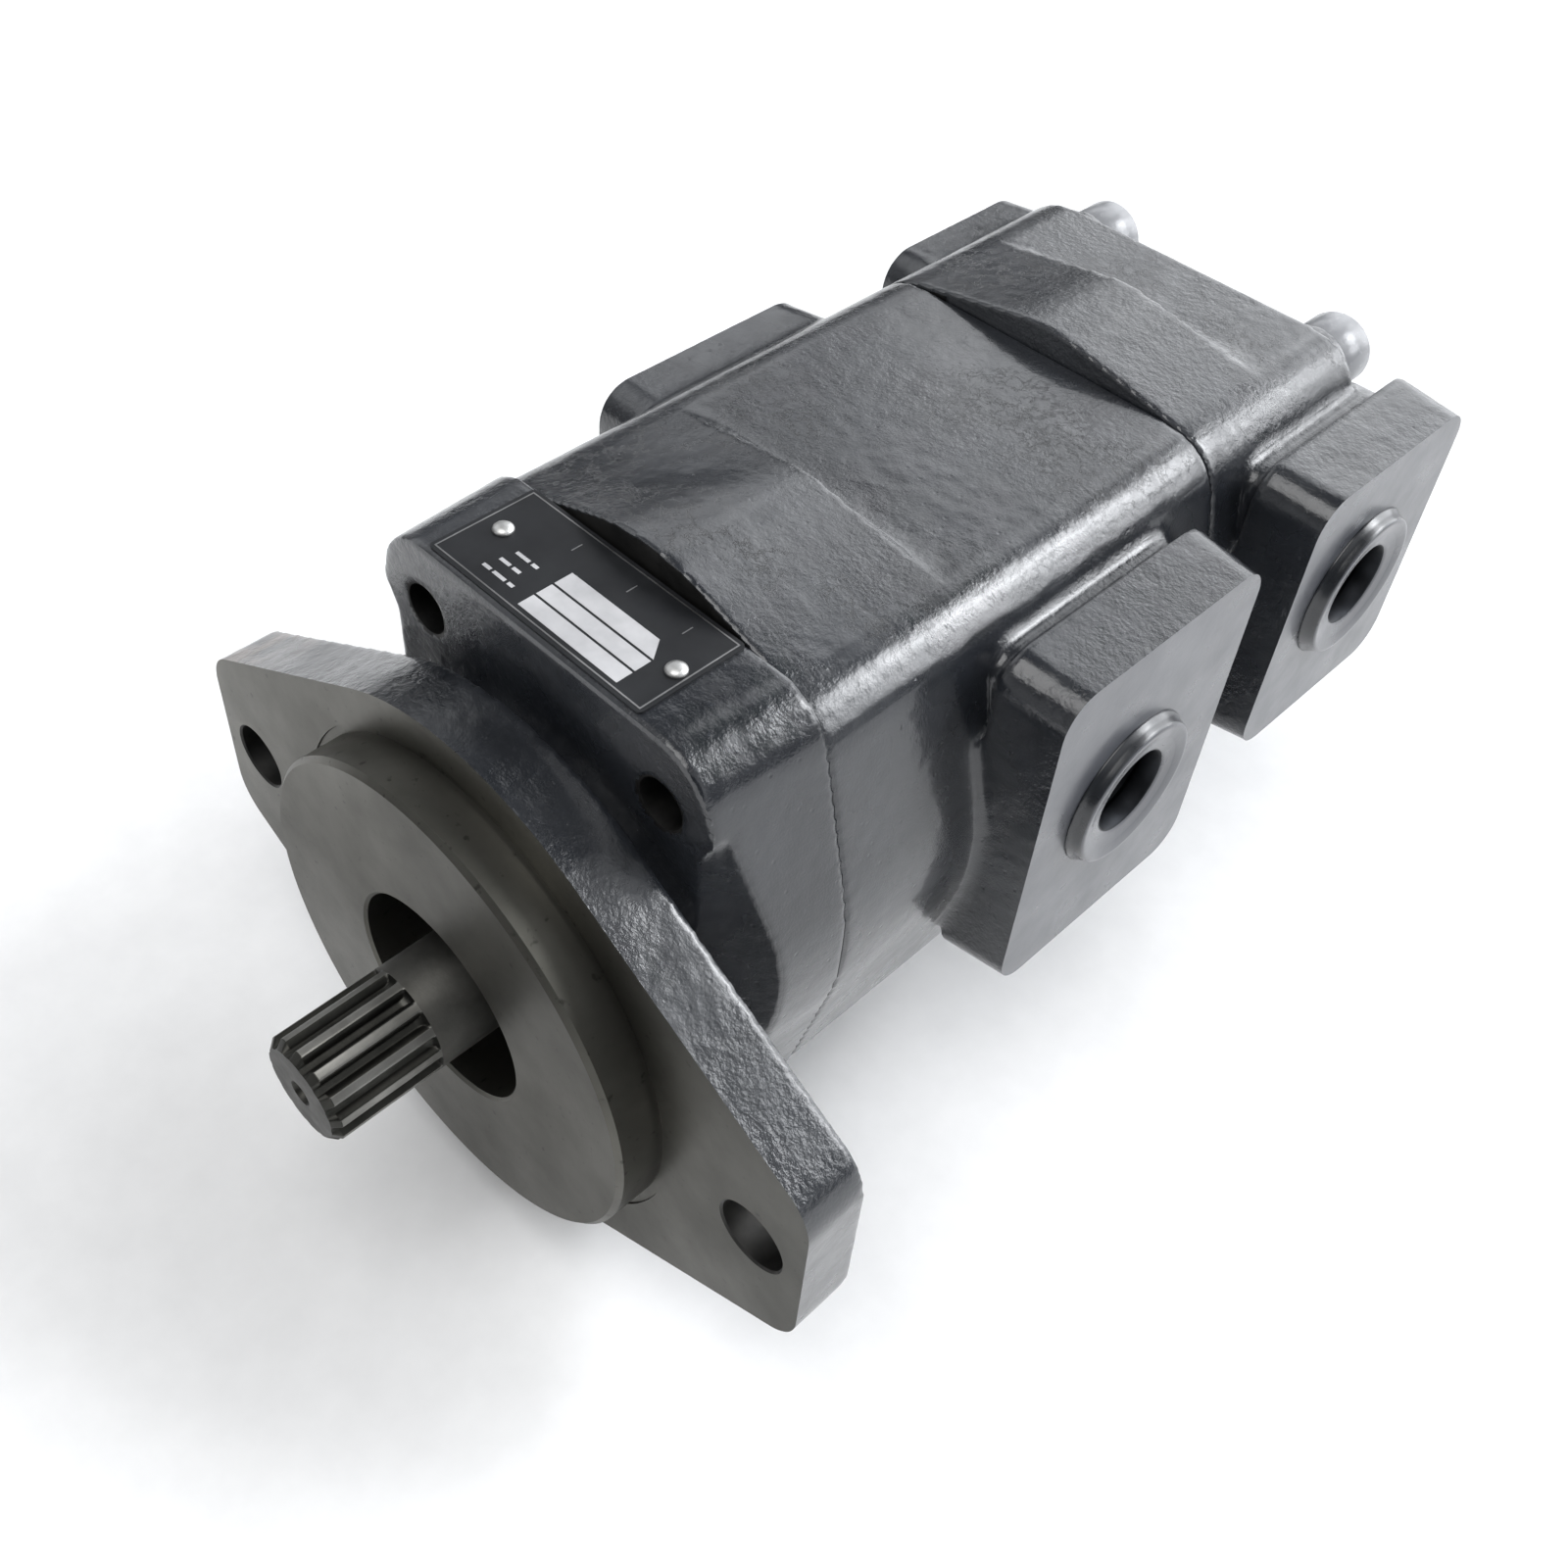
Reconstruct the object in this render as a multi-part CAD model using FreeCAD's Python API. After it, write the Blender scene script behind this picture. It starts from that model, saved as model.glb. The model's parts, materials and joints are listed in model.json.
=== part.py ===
"""Tandem external gear pump: two gear sections in line on one splined drive shaft.

Row frame, millimetres: +X to the right seen from the shaft end, +Y rearward into the pump,
+Z up towards the nameplate. The origin is the centre of the mounting face, on the shaft axis.
"""
import FreeCAD, Part
import math
import os

V = FreeCAD.Vector
Y_AXIS = V(0, 1, 0)

# ---- mounting flange, two bolts with a 101.6 pilot ----
PILOT_R = 50.8
PILOT_HEIGHT = 9.5
FLANGE_THICK = 13.0
FLANGE_DISC_R = 60.0
EAR_HALF_WIDTH = 85.0
EAR_SLOPE = math.radians(30)
EAR_CORNER_R = 11.0
BOLT_HOLE_X = 73.025
BOLT_HOLE_R = 7.15
RELIEF_R = 52.8
RELIEF_DEPTH = 0.4

# ---- places along the shaft axis ----
BLOCK_FRONT_Y = 17.0
SEAM_1_Y = 41.7
SEAM_2_Y = 148.0
REAR_Y = 199.0
PAD_END_Y = 205.0
POCKET_1_END = 138.0
POCKET_2_END = 191.5
GEAR_1 = (80.0, 118.0)
GEAR_2 = (166.0, 182.0)

# ---- gears and their pockets ----
GEAR_MODULE = 3.75
GEAR_TEETH = 11
GEAR_PRESSURE = math.radians(28)
PITCH_R = GEAR_MODULE * GEAR_TEETH / 2
TIP_R = PITCH_R + GEAR_MODULE
ROOT_R = PITCH_R - 1.17 * GEAR_MODULE
CENTRES = 2 * PITCH_R
BACKLASH_THIN = 0.18
POCKET_R = TIP_R + 0.33
BLOCK_R = POCKET_R - 0.05
SIDE_CLEARANCE = 0.06
MID_Z = CENTRES / 2

# ---- shafts, bushes and seals ----
JOURNAL_R = 12.5
BUSH_IN_R = 12.54
BUSH_OUT_R = 15.0
BUSH_SEAT_R = 15.03
SEAL_OUT_R = 20.5
SEAL_IN_R = 17.9
SEAL_DEPTH = 2.3
END_GAP = 0.25
NOSE_R = 10.9
SHAFT_END_Y = -39.5
SPLINE_END_Y = -16.5
NOSE_END_Y = 3.0
SPLINE_TEETH = 13
SPLINE_MODULE = 25.4 / 16
SPLINE_PRESSURE = math.radians(30)
SPLINE_ROOT_R = 9.2
STUB_TEETH = 11
STUB_TIP_R = 9.1
STUB_ROOT_R = 7.6
RECESS_R = 22.3
RECESS_END_Y = 4.0
SEAL_SEAT_R = 20.0
SEAL_SEAT_END_Y = 20.0
CLIP_Y = (6.0, 7.6)
CLIP_GROOVE_R = 21.2
LIP_SEAL_Y = (8.0, 19.0)
COVER_BORE_R = 13.2
WEB_BORE_R = 12.9
WEB_SEAL_R = 17.0
WEB_SEAL_END_Y = 145.5
SLEEVE_R = 12.3
SLEEVE_Y = (138.4, 155.0)

# ---- outer section of the castings ----
COVER_TOP = 74.8
HOUSING_TOP = 72.0
FRONT_INSET = 1.6
ARCH_HALF = 33.5
ARCH_CREST_R = 45.0
ARCH_ROOT = 7.0
ARCH_1 = ((SEAM_1_Y, 80.8), (80.0, 76.5))
ARCH_2 = ((SEAM_2_Y, 77.6), (175.0, 77.2))
SIDE_HALF = 54.4
SIDE_SLOPE = 0.2466
SIDE_ROUND_R = 65.0
CORNER_R = 13.0

# ---- tie bolts and dowels ----
BOLT_X = 30.5
BOLT_OFFSET_Z = 39.4
BOLT_R = 4.95
BOLT_CLEAR_R = 5.5
BOLT_THREAD_R = 5.0
BOLT_END_Y = 24.0
HEAD_R = 8.0
HEAD_HEIGHT = 11.0
PAD_R = 9.2
SOCKET_FLATS = 8.0
SOCKET_DEPTH = 5.5
DOWEL_X = 38.0
DOWEL_R = 4.0
DOWEL_LENGTH = 16.0

# ---- port bosses and fittings ----
BOSS_ROOT_X = 41.0
BOSS_DRAFT = 1.4
BOSS_NECK = 3.0
BOSS_CORNER_R = 7.5
BOSS_SLAB = 15.0
OUTLET_1 = {"y": (78.0, 136.0), "z": (-12.5, 65.0), "port": (105.4, 27.0), "face": 64.0}
OUTLET_2 = {"y": (155.0, 208.0), "z": (1.0, 66.0), "port": (180.0, 35.4), "face": 64.0}
INLET_1 = {"y": (79.0, 136.0), "z": (-12.5, 64.0), "port": (105.4, 27.0), "face": 55.5}
INLET_2 = {"y": (164.5, 211.0), "z": (1.0, 61.5), "port": (184.5, 33.0), "face": 55.5}
PORT_R = 8.8
PASSAGE_START_X = 16.0
FITTING_SEAT_R = 12.0
FITTING_DEPTH = 14.0
FITTING_RIM_R = 17.0
FITTING_RIM_HEIGHT = 3.0

# ---- nameplate ----
PLATE_X = (-29.0, 24.5)
PLATE_Y = (18.0, 41.2)
PLATE_THICK = 0.5
RIVETS = ((-23.7, 30.0), (21.2, 28.8))
RIVET_R = 2.0


def tube_y(radius, y0, y1, x=0.0, z=0.0):
    """Solid cylinder along the shaft axis from y0 to y1."""
    return Part.makeCylinder(radius, y1 - y0, V(x, y0, z), Y_AXIS)


def ring_y(outer, inner, y0, y1, x=0.0, z=0.0):
    """Ring along the shaft axis."""
    return tube_y(outer, y0, y1, x, z).cut(tube_y(inner, y0 - 1, y1 + 1, x, z))


def outline(corners, place):
    """Closed wire through corners (u, v, radius), each rounded to its radius."""
    count = len(corners)
    arcs = []
    for i, (u, v, radius) in enumerate(corners):
        here = V(u, v, 0)
        to_last = (V(*corners[i - 1][:2], 0) - here).normalize()
        to_next = (V(*corners[(i + 1) % count][:2], 0) - here).normalize()
        half_angle = to_last.getAngle(to_next) / 2
        reach = radius / math.tan(half_angle)
        middle = (to_last + to_next).normalize()
        crown = here + middle * (radius / math.sin(half_angle) - radius)
        arcs.append((here + to_last * reach, crown, here + to_next * reach, radius))
    edges = []
    for i, (start, crown, end, radius) in enumerate(arcs):
        if radius > 0:
            edges.append(Part.Arc(place(start), place(crown), place(end)).toShape())
        following = arcs[(i + 1) % count][0]
        if (following - end).Length > 1e-6:
            edges.append(Part.LineSegment(place(end), place(following)).toShape())
    return Part.Wire(edges)


def at_y(y):
    """Place a (u, v) outline as (x, z) in the plane at y."""
    return lambda p: V(p.x, y, p.y)


def at_x(x):
    """Place a (u, v) outline as (y, z) in the plane at x."""
    return lambda p: V(x, p.x, p.y)


def at_z(z):
    """Place a (u, v) outline as (x, y) in the plane at z."""
    return lambda p: V(p.x, p.y, z)


def prism(corners, place, along):
    """Extrude a rounded outline."""
    return Part.Face(outline(corners, place)).extrude(along)


def fuse(shapes):
    """Join shapes and remove the seams between them."""
    return shapes[0].multiFuse(shapes[1:]).removeSplitter()


def mirrored(shape):
    """The same shape on the other side of the pump."""
    return shape.mirror(V(0, 0, 0), V(1, 0, 0))


def save(name, shape):
    """Write one sub-part."""
    shape.exportStep(os.path.join("parts", name + ".step"))


# ---------------------------------------------------------------- teeth

def involute(angle):
    return math.tan(angle) - angle


def toothed_face(teeth, module, pressure, tip_r, root_r, y, phase=0.0, thin=0.0, z=0.0):
    """Face of an involute outline; thin is taken off each tooth at the pitch circle."""
    pitch_r = module * teeth / 2
    base_r = pitch_r * math.cos(pressure)
    start_r = max(base_r, root_r)
    half_pitch_tooth = (math.pi * module / 2 - thin) / (2 * pitch_r)

    def half_angle(radius):
        working = math.acos(min(1.0, base_r / radius))
        return half_pitch_tooth + involute(pressure) - involute(working)

    def point(radius, angle):
        return V(radius * math.sin(angle), y, z + radius * math.cos(angle))

    steps = 6
    radii = [start_r + (tip_r - start_r) * (k / steps) ** 1.5 for k in range(steps + 1)]
    edges = []
    step = 2 * math.pi / teeth
    for k in range(teeth):
        centre = phase + k * step
        rising = [point(r, centre - half_angle(r)) for r in radii]
        falling = [point(r, centre + half_angle(r)) for r in reversed(radii)]
        root_half = half_angle(start_r)
        if root_r < start_r - 1e-6:
            foot = point(root_r, centre - root_half)
            edges.append(Part.LineSegment(foot, rising[0]).toShape())
        for flank in (rising, falling):
            if flank is falling:
                edges.append(Part.Arc(rising[-1], point(tip_r, centre), falling[0]).toShape())
            curve = Part.BSplineCurve()
            curve.interpolate(flank)
            edges.append(curve.toShape())
        far_foot = point(root_r, centre + root_half)
        if root_r < start_r - 1e-6:
            edges.append(Part.LineSegment(falling[-1], far_foot).toShape())
        next_foot = point(root_r, centre + step - root_half)
        edges.append(Part.Arc(far_foot, point(root_r, centre + step / 2), next_foot).toShape())
    return Part.Face(Part.Wire(edges))


def gear(span, z, phase):
    """Pump gear between its two side clearances."""
    y0 = span[0] + SIDE_CLEARANCE
    length = span[1] - span[0] - 2 * SIDE_CLEARANCE
    face = toothed_face(GEAR_TEETH, GEAR_MODULE, GEAR_PRESSURE, TIP_R, ROOT_R, y0, phase, BACKLASH_THIN, z)
    return face.extrude(V(0, length, 0))


def coupling_spline(tip_r, root_r, y0, y1, thin=0.0):
    """Short spline that joins the two drive shafts."""
    module = (STUB_TIP_R + STUB_ROOT_R) / STUB_TEETH
    face = toothed_face(STUB_TEETH, module, SPLINE_PRESSURE, tip_r, root_r, y0, 0.0, thin)
    return face.extrude(V(0, y1 - y0, 0))


DRIVEN_PHASE = math.pi + math.pi / GEAR_TEETH


def drive_gear_shaft():
    """Splined input shaft, forged in one piece with the front drive gear."""
    face = toothed_face(
        SPLINE_TEETH, SPLINE_MODULE, SPLINE_PRESSURE, NOSE_R, SPLINE_ROOT_R, SHAFT_END_Y)
    spline = face.extrude(V(0, SPLINE_END_Y - SHAFT_END_Y, 0))
    chamfer = 1.5
    envelope = fuse([
        Part.makeCone(NOSE_R - chamfer, NOSE_R + 0.1, chamfer, V(0, SHAFT_END_Y, 0), Y_AXIS),
        tube_y(NOSE_R + 0.1, SHAFT_END_Y + chamfer, SPLINE_END_Y)])
    spline = spline.common(envelope)
    nose = tube_y(NOSE_R, SPLINE_END_Y, NOSE_END_Y)
    shoulder = Part.makeCone(NOSE_R, JOURNAL_R, 1.6, V(0, NOSE_END_Y, 0), Y_AXIS)
    journal = tube_y(JOURNAL_R, NOSE_END_Y + 1.6, POCKET_1_END - 0.6)
    stub = coupling_spline(STUB_TIP_R, STUB_ROOT_R, POCKET_1_END - 0.6, 146.2, 0.15)
    body = fuse([spline, nose, shoulder, journal, gear(GEAR_1, 0.0, 0.0), stub])
    drill_r = 1.6
    centre_hole = fuse([
        tube_y(drill_r, SHAFT_END_Y - 1, SHAFT_END_Y + 9),
        Part.makeCone(drill_r + 1.9, drill_r, 1.9, V(0, SHAFT_END_Y, 0), Y_AXIS)])
    return body.cut(centre_hole)


def rear_drive_gear():
    """Second drive gear with its journals and the spline that takes the coupling sleeve."""
    stub = coupling_spline(STUB_TIP_R, STUB_ROOT_R, 147.2, 156.0, 0.15)
    journal = tube_y(JOURNAL_R, 156.0, POCKET_2_END - 0.8)
    return fuse([stub, journal, gear(GEAR_2, 0.0, 0.0)])


def driven_gear(span, y0, y1):
    """Idler gear with a journal at each end."""
    journal = tube_y(JOURNAL_R, y0, y1, 0.0, CENTRES)
    bore = tube_y(4.0, y0 - 1, y1 + 1, 0.0, CENTRES)
    return fuse([journal, gear(span, CENTRES, DRIVEN_PHASE)]).cut(bore)


def coupling_sleeve():
    """Sleeve with internal splines over both shaft ends."""
    y0, y1 = SLEEVE_Y
    sleeve = tube_y(SLEEVE_R, y0, y1)
    return sleeve.cut(coupling_spline(STUB_TIP_R + 0.1, STUB_ROOT_R + 0.1, y0 - 1, y1 + 1))


# ---------------------------------------------------------------- pockets and blocks

def figure_eight(radius, y0, y1):
    """Two overlapping cylinders on the two gear axes."""
    return fuse([tube_y(radius, y0, y1), tube_y(radius, y0, y1, 0.0, CENTRES)])


def band(outer, inner, y0, y1):
    """Closed band that follows the figure of the gear pocket."""
    return figure_eight(outer, y0, y1).cut(figure_eight(inner, y0 - 1, y1 + 1))


def bearing_block(back, gear_side):
    """Bearing block between its back face, which holds the balance seal, and the gears."""
    y0, y1 = sorted((back, gear_side))
    inward = math.copysign(1.0, gear_side - back)
    block = figure_eight(BLOCK_R, y0, y1)
    for z in (0.0, CENTRES):
        block = block.cut(tube_y(BUSH_SEAT_R, y0 - 1, y1 + 1, 0.0, z))
    block = block.cut(band(SEAL_OUT_R + 0.1, SEAL_IN_R - 0.1, *sorted((back, back + inward * SEAL_DEPTH))))
    relief = Part.makeBox(7.0, 2.4, 12.0, V(0, gear_side - 1.2, MID_Z - 6.0))
    for x in (-11.5, 4.5):
        block = block.cut(relief.translated(V(x, 0, 0)))
    return block


def balance_seal(back, gear_side):
    """Seal in the back of a bearing block, standing proud by the end gap."""
    inward = math.copysign(1.0, gear_side - back)
    ends = (back - inward * END_GAP, back + inward * (SEAL_DEPTH - 0.1))
    return band(SEAL_OUT_R, SEAL_IN_R, *sorted(ends))


def bush_pair(y0, y1):
    """Two plain bushes, one on each gear axis."""
    return Part.makeCompound([
        ring_y(BUSH_OUT_R, BUSH_IN_R, y0 + 0.5, y1 - 0.5, 0.0, z) for z in (0.0, CENTRES)])


# ---------------------------------------------------------------- castings

def section_corners(top, inset=0.0):
    """Outer section: flat top and bottom, sloping sides that meet in a soft round at mid height."""
    half = SIDE_HALF - inset
    rise = top - MID_Z
    corner_x = half - SIDE_SLOPE * rise
    return [
        (corner_x, MID_Z + rise, CORNER_R), (half, MID_Z, SIDE_ROUND_R),
        (corner_x, MID_Z - rise, CORNER_R), (-corner_x, MID_Z - rise, CORNER_R),
        (-half, MID_Z, SIDE_ROUND_R), (-corner_x, MID_Z + rise, CORNER_R)]


def arches(ends):
    """Low roof-shaped crowns on the top and bottom of a housing; ends are two (y, crest height)."""
    base = HOUSING_TOP - MID_Z
    wires = []
    for y, crest in ends:
        drop = ARCH_CREST_R - (crest - HOUSING_TOP)
        slope = math.asin(ARCH_CREST_R / math.hypot(ARCH_HALF, drop)) - math.atan2(drop, ARCH_HALF)
        peak = ARCH_HALF * math.tan(slope)
        foot = ARCH_HALF - ARCH_ROOT
        wires.append(outline([
            (0, MID_Z + base + peak, ARCH_CREST_R), (ARCH_HALF, MID_Z + base, 0),
            (foot, MID_Z + base - ARCH_ROOT, 0), (-foot, MID_Z + base - ARCH_ROOT, 0),
            (-ARCH_HALF, MID_Z + base, 0)], at_y(y)))
    crown = Part.makeLoft(wires, True, True)
    return [crown, crown.mirror(V(0, 0, MID_Z), V(0, 0, 1))]


def boss(layout):
    """Port boss on the right-hand side: a drafted slab on a narrower neck."""
    y0, y1 = layout["y"]
    z0, z1 = layout["z"]
    face = layout["face"]

    def ring(x, grow):
        radius = BOSS_CORNER_R + min(grow, 0)
        return outline([
            (y0 - grow, z0 - grow, radius), (y1 + grow, z0 - grow, radius),
            (y1 + grow, z1 + grow, radius), (y0 - grow, z1 + grow, radius)], at_x(x))

    slab = Part.makeLoft([ring(face - BOSS_SLAB, BOSS_DRAFT), ring(face, 0.0)], True, True)
    neck = Part.Face(ring(BOSS_ROOT_X, -BOSS_NECK)).extrude(V(face - BOSS_SLAB + 1 - BOSS_ROOT_X, 0, 0))
    return slab.fuse(neck)


def port_cut(layout):
    """Passage from the boss face to the gear pocket, with the fitting's counterbore."""
    y, z = layout["port"]
    face = layout["face"]
    passage = Part.makeCylinder(PORT_R, face, V(PASSAGE_START_X, y, z), V(1, 0, 0))
    seat = Part.makeCylinder(FITTING_SEAT_R, FITTING_DEPTH + 1, V(face - FITTING_DEPTH, y, z), V(1, 0, 0))
    return passage.fuse(seat)


def port_fitting(layout):
    """Turned insert with a raised, dished rim, seated in the boss; its bore is the port."""
    y, z = layout["port"]
    face = layout["face"]
    seat = FITTING_SEAT_R - 0.05
    crest = face + FITTING_RIM_HEIGHT
    half = [
        (face - FITTING_DEPTH + 2.2, PORT_R), (face - FITTING_DEPTH + 2.2, seat), (face, seat),
        (face, FITTING_RIM_R), (face + 0.6, FITTING_RIM_R), (crest - 0.4, FITTING_RIM_R - 1.1),
        (crest, FITTING_RIM_R - 1.6), (crest - 0.9, PORT_R + 0.6), (crest - 1.5, PORT_R)]
    points = [V(x, y, z + r) for x, r in half]
    profile = Part.Face(Part.makePolygon(points + points[:1]))
    return profile.revolve(V(0, y, z), V(1, 0, 0), 360)


def port_seal(layout):
    """Ring at the bottom of the fitting's counterbore."""
    y, z = layout["port"]
    start = V(layout["face"] - FITTING_DEPTH, y, z)
    outer = Part.makeCylinder(FITTING_SEAT_R - 0.1, 2.1, start, V(1, 0, 0))
    return outer.cut(Part.makeCylinder(PORT_R + 0.2, 4.2, start - V(1, 0, 0), V(1, 0, 0)))


def bolt_places():
    """The four tie-bolt axes as (x, z)."""
    return [(x, MID_Z + dz) for dz in (BOLT_OFFSET_Z, -BOLT_OFFSET_Z) for x in (-BOLT_X, BOLT_X)]


def dowel_cuts(seam):
    """Holes for the two dowels across a seam."""
    half = DOWEL_LENGTH / 2 + 0.5
    return [tube_y(DOWEL_R + 0.02, seam - half, seam + half, x, MID_Z) for x in (-DOWEL_X, DOWEL_X)]


def seam_groove(seam):
    """Groove for the body seal in the front face of a housing."""
    return band(POCKET_R + 3.6, POCKET_R + 1.4, seam - 1, seam + 1.8)


def flange():
    """Two-bolt flange plate: a disc with two ears drawn tangent to it."""
    tangent = (FLANGE_DISC_R * math.sin(EAR_SLOPE), FLANGE_DISC_R * math.cos(EAR_SLOPE))
    ear_z = (FLANGE_DISC_R - EAR_HALF_WIDTH * math.sin(EAR_SLOPE)) / math.cos(EAR_SLOPE)
    right = [
        (tangent[0], tangent[1], 0), (EAR_HALF_WIDTH, ear_z, EAR_CORNER_R),
        (EAR_HALF_WIDTH, -ear_z, EAR_CORNER_R), (tangent[0], -tangent[1], 0)]
    left = [(-x, -z, radius) for x, z, radius in right]
    ears = prism(right + left, at_y(0.0), V(0, FLANGE_THICK, 0))
    return ears.fuse(tube_y(FLANGE_DISC_R, 0.0, FLANGE_THICK))


def ear_pocket():
    """Bevelled space behind an ear, between the upper and lower bolt lobes."""
    deep_y = 28.0
    slope = 0.84
    apex_x = 21.5
    roof_slope = 1.826
    far_x = 66.0
    wall_x = SIDE_HALF - 2.0
    inner_x = wall_x - (deep_y - FLANGE_THICK) / slope
    bevel = prism([
        (inner_x, FLANGE_THICK, 0), (far_x, FLANGE_THICK, 0),
        (far_x, deep_y + slope * (far_x - wall_x), 0)], at_z(-60.0), V(0, 0, 160))
    reach = roof_slope * (far_x - apex_x)
    wedge = prism([
        (apex_x, MID_Z, 0), (far_x, MID_Z + reach, 0), (far_x, MID_Z - reach, 0)],
        at_y(0.0), V(0, 60, 0))
    return bevel.common(wedge)


def front_cover():
    """Mounting flange, pilot, seal housing and the block that closes the front gear pocket."""
    pilot = tube_y(PILOT_R, -PILOT_HEIGHT, 0.0)
    rim = [e for e in pilot.Edges if e.BoundBox.YMax < -PILOT_HEIGHT + 0.01]
    pilot = pilot.makeChamfer(1.0, rim)
    front = outline(section_corners(COVER_TOP, FRONT_INSET), at_y(BLOCK_FRONT_Y))
    back = outline(section_corners(COVER_TOP), at_y(SEAM_1_Y))
    block = Part.makeLoft([front, back], True, True)
    neck = tube_y(52.0, FLANGE_THICK - 1, BLOCK_FRONT_Y + 1)
    pocket = ear_pocket()
    block = block.fuse(neck).cut(Part.makeCompound([pocket, mirrored(pocket)]))
    cover = fuse([flange(), pilot, block])
    cuts = [
        ring_y(RELIEF_R, PILOT_R, -1.0, RELIEF_DEPTH),
        tube_y(RECESS_R, -PILOT_HEIGHT - 1, RECESS_END_Y),
        tube_y(SEAL_SEAT_R, RECESS_END_Y - 1, SEAL_SEAT_END_Y),
        tube_y(CLIP_GROOVE_R, *CLIP_Y),
        tube_y(COVER_BORE_R, SEAL_SEAT_END_Y - 1, SEAM_1_Y + 1)]
    cuts += [tube_y(BOLT_HOLE_R, -1.0, FLANGE_THICK + 12, x) for x in (-BOLT_HOLE_X, BOLT_HOLE_X)]
    cuts += [tube_y(BOLT_THREAD_R, FLANGE_THICK + 0.5, SEAM_1_Y + 1, x, z) for x, z in bolt_places()]
    cuts += dowel_cuts(SEAM_1_Y)
    cuts += [Part.makeCylinder(1.02, 6, V(x, y, COVER_TOP - 5)) for x, y in RIVETS]
    return cover.cut(Part.makeCompound(cuts))


def housing(y0, y1, pocket_end, crown_ends, outlet, inlet, pads):
    """Cast gear housing with its crowns, port bosses, gear pocket and bolt holes."""
    body = prism(section_corners(HOUSING_TOP), at_y(y0), V(0, y1 - y0, 0))
    body = fuse([body] + arches(crown_ends) + [boss(outlet), mirrored(boss(inlet))] + pads)
    cuts = [figure_eight(POCKET_R, y0 - 1, pocket_end), seam_groove(y0)]
    cuts += [port_cut(outlet), mirrored(port_cut(inlet))]
    cuts += [tube_y(BOLT_CLEAR_R, y0 - 1, y1 + 12, x, z) for x, z in bolt_places()]
    cuts += dowel_cuts(y0)
    for cut in cuts:
        body = body.cut(cut)
    return body


def front_housing():
    """Front gear section; its rear web carries the seal round the coupling."""
    body = housing(SEAM_1_Y, SEAM_2_Y, POCKET_1_END, ARCH_1, OUTLET_1, INLET_1, [])
    for cut in dowel_cuts(SEAM_2_Y):
        body = body.cut(cut)
    body = body.cut(tube_y(WEB_SEAL_R, POCKET_1_END - 1, WEB_SEAL_END_Y))
    return body.cut(tube_y(WEB_BORE_R, POCKET_1_END, SEAM_2_Y + 1))


def rear_housing():
    """Rear gear section with a closed end and round pads under the bolt heads."""
    pads = [tube_y(PAD_R, REAR_Y - 5, PAD_END_Y, x, z) for x, z in bolt_places()]
    return housing(SEAM_2_Y, REAR_Y, POCKET_2_END, ARCH_2, OUTLET_2, INLET_2, pads)


# ---------------------------------------------------------------- fasteners and trim

def hexagon(flats, y0, y1, x, z):
    """Hexagonal prism along the shaft axis."""
    radius = flats / math.sqrt(3)
    turns = [math.radians(60 * k) for k in range(6)]
    corners = [(x + radius * math.cos(a), z + radius * math.sin(a), 0) for a in turns]
    return prism(corners, at_y(y0), V(0, y1 - y0, 0))


def tie_bolt(x, z):
    """Long socket-head bolt from the rear face into the front cover."""
    top = PAD_END_Y + HEAD_HEIGHT
    head = tube_y(HEAD_R, PAD_END_Y, top, x, z)
    rim = [e for e in head.Edges if e.BoundBox.YMin > top - 0.01]
    head = head.makeChamfer(0.8, rim)
    shank = tube_y(BOLT_R, BOLT_END_Y, PAD_END_Y + 1, x, z)
    socket = hexagon(SOCKET_FLATS, top - SOCKET_DEPTH, top + 1, x, z)
    return head.fuse(shank).removeSplitter().cut(socket)


def dowels(seam):
    """Two dowel pins across a seam."""
    half = DOWEL_LENGTH / 2
    return Part.makeCompound([
        tube_y(DOWEL_R, seam - half, seam + half, x, MID_Z) for x in (-DOWEL_X, DOWEL_X)])


def nameplate():
    """Thin plate riveted to the top of the front cover."""
    x0, x1 = PLATE_X
    y0, y1 = PLATE_Y
    plate = prism([(x0, y0, 1.0), (x1, y0, 1.0), (x1, y1, 1.0), (x0, y1, 1.0)],
                  at_z(COVER_TOP), V(0, 0, PLATE_THICK))
    for x, y in RIVETS:
        plate = plate.cut(Part.makeCylinder(1.05, 3, V(x, y, COVER_TOP - 1)))
    return plate


def rivet(x, y):
    """Drive rivet with a low domed head."""
    base = COVER_TOP + PLATE_THICK
    head_height = 1.1
    dome_r = (RIVET_R ** 2 + head_height ** 2) / (2 * head_height)
    dome = Part.makeSphere(dome_r, V(x, y, base + head_height - dome_r))
    keep = Part.makeCylinder(RIVET_R + 1, head_height + 1, V(x, y, base))
    shank = Part.makeCylinder(1.0, 4.0 + PLATE_THICK, V(x, y, COVER_TOP - 4.0))
    return dome.common(keep).fuse(shank).removeSplitter()


def lip_seal():
    """Rotary seal in the front cover: a case ring with an inner lip on the shaft."""
    y0, y1 = LIP_SEAL_Y
    case = ring_y(SEAL_SEAT_R - 0.03, 17.0, y0, y1)
    web = ring_y(17.5, 13.6, y0, y0 + 2.4)
    lip = ring_y(14.4, JOURNAL_R + 0.05, y0 + 1.2, y0 + 6.5)
    return fuse([case, web, lip])


def retaining_ring():
    """Internal snap ring that holds the lip seal."""
    y0, y1 = CLIP_Y
    ring = ring_y(CLIP_GROOVE_R - 0.15, 18.2, y0 + 0.05, y1 - 0.05)
    gap = Part.makeBox(8.0, 4.0, 8.0, V(-4.0, y0 - 1, -24.0))
    return ring.cut(gap)


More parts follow.
